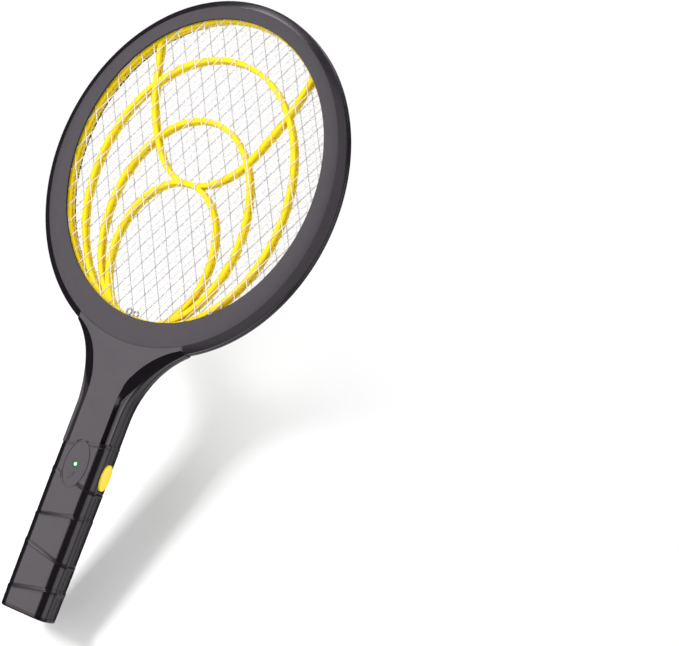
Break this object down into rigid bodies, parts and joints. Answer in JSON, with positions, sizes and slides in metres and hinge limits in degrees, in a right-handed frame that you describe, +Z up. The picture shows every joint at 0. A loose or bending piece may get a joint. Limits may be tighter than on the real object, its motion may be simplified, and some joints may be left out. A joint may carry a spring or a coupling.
{
  "type": "electric fly swatter",
  "caption": "Racket-shaped electric fly swatter with three wire nets in a black ring, yellow inner ribs, side push button and a two-cell handle.",
  "frame": {"origin": "middle of the grip, at half of the handle's width and thickness", "axes": "+Z up the handle to the head, -Y out of the front face, +X to the button's side"},
  "size_m": [0.222, 0.0221, 0.4304],
  "materials": {
    "ring_plastic": "satin black moulded plastic",
    "handle_plastic": "satin black moulded plastic, finely grained on the grip",
    "yellow_plastic": "bright yellow moulded plastic",
    "button_plastic": "satin warm yellow moulded plastic",
    "net_wire": "bright fine wire",
    "contact_metal": "nickel-plated",
    "screw_steel": "zinc-plated",
    "led_lens": "clear green lens, lit",
    "board": "green lacquer",
    "cell_sleeve": "printed sleeve with no text",
    "component_black": "moulded epoxy",
    "component_tan": "dipped lacquer",
    "red_lead": "flexible insulation",
    "black_lead": "flexible insulation"
  },
  "bodies": {
    "swatter": {"aa_cell_left": "cell_sleeve", "aa_cell_right": "cell_sleeve", "bottom_cell_spring": "contact_metal", "bridge_contact": "contact_metal", "centre_net": "net_wire", "centre_net_lead": "black_lead", "circuit_board": "board", "discharge_resistor": "component_tan", "front_handle_shell": "handle_plastic", "front_inner_frame": "yellow_plastic", "front_net": "net_wire", "front_net_terminal": "contact_metal", "front_ring": "ring_plastic", "handle_screw_1": "screw_steel", "handle_screw_2": "screw_steel", "handle_screw_3": "screw_steel", "handle_screw_4": "screw_steel", "high_voltage_capacitor": "component_tan", "indicator_led": "led_lens", "led_resistor": "component_tan", "negative_contact": "contact_metal", "negative_lead": "black_lead", "outer_net_lead": "red_lead", "positive_contact": "contact_metal", "positive_lead": "red_lead", "push_switch_body": "component_black", "rear_handle_shell": "handle_plastic", "rear_inner_frame": "yellow_plastic", "rear_net": "net_wire", "rear_net_terminal": "contact_metal", "rear_ring": "ring_plastic", "rectifier_diode_1": "component_black", "rectifier_diode_2": "component_black", "rectifier_diode_3": "component_black", "ring_screw_1": "screw_steel", "ring_screw_2": "screw_steel", "ring_screw_3": "screw_steel", "ring_screw_4": "screw_steel", "ring_screw_5": "screw_steel", "ring_screw_6": "screw_steel", "top_cell_spring": "contact_metal", "transformer_core": "component_black", "transistor": "component_black"},
    "button": {"power_button": "button_plastic"},
    "plunger": {"push_switch_plunger": "component_tan"},
    "door": {"battery_door": "handle_plastic"}
  },
  "joints": [
    {"name": "button_press", "type": "slide", "parent": "swatter", "child": "button", "axis": [-1, 0, 0], "range_m": [0, 0.0015], "stiffness_N_per_m": 1200},
    {"name": "switch_plunge", "type": "slide", "parent": "swatter", "child": "plunger", "axis": [-1, 0, 0], "range_m": [0, 0.0015], "stiffness_N_per_m": 300},
    {"name": "battery_door_slide", "type": "slide", "parent": "swatter", "child": "door", "axis": [0, 0, -1], "range_m": [0, 0.06]}
  ],
  "couplings": [
    {"joint": "switch_plunge", "follows": "button_press", "ratio": 1}
  ]
}
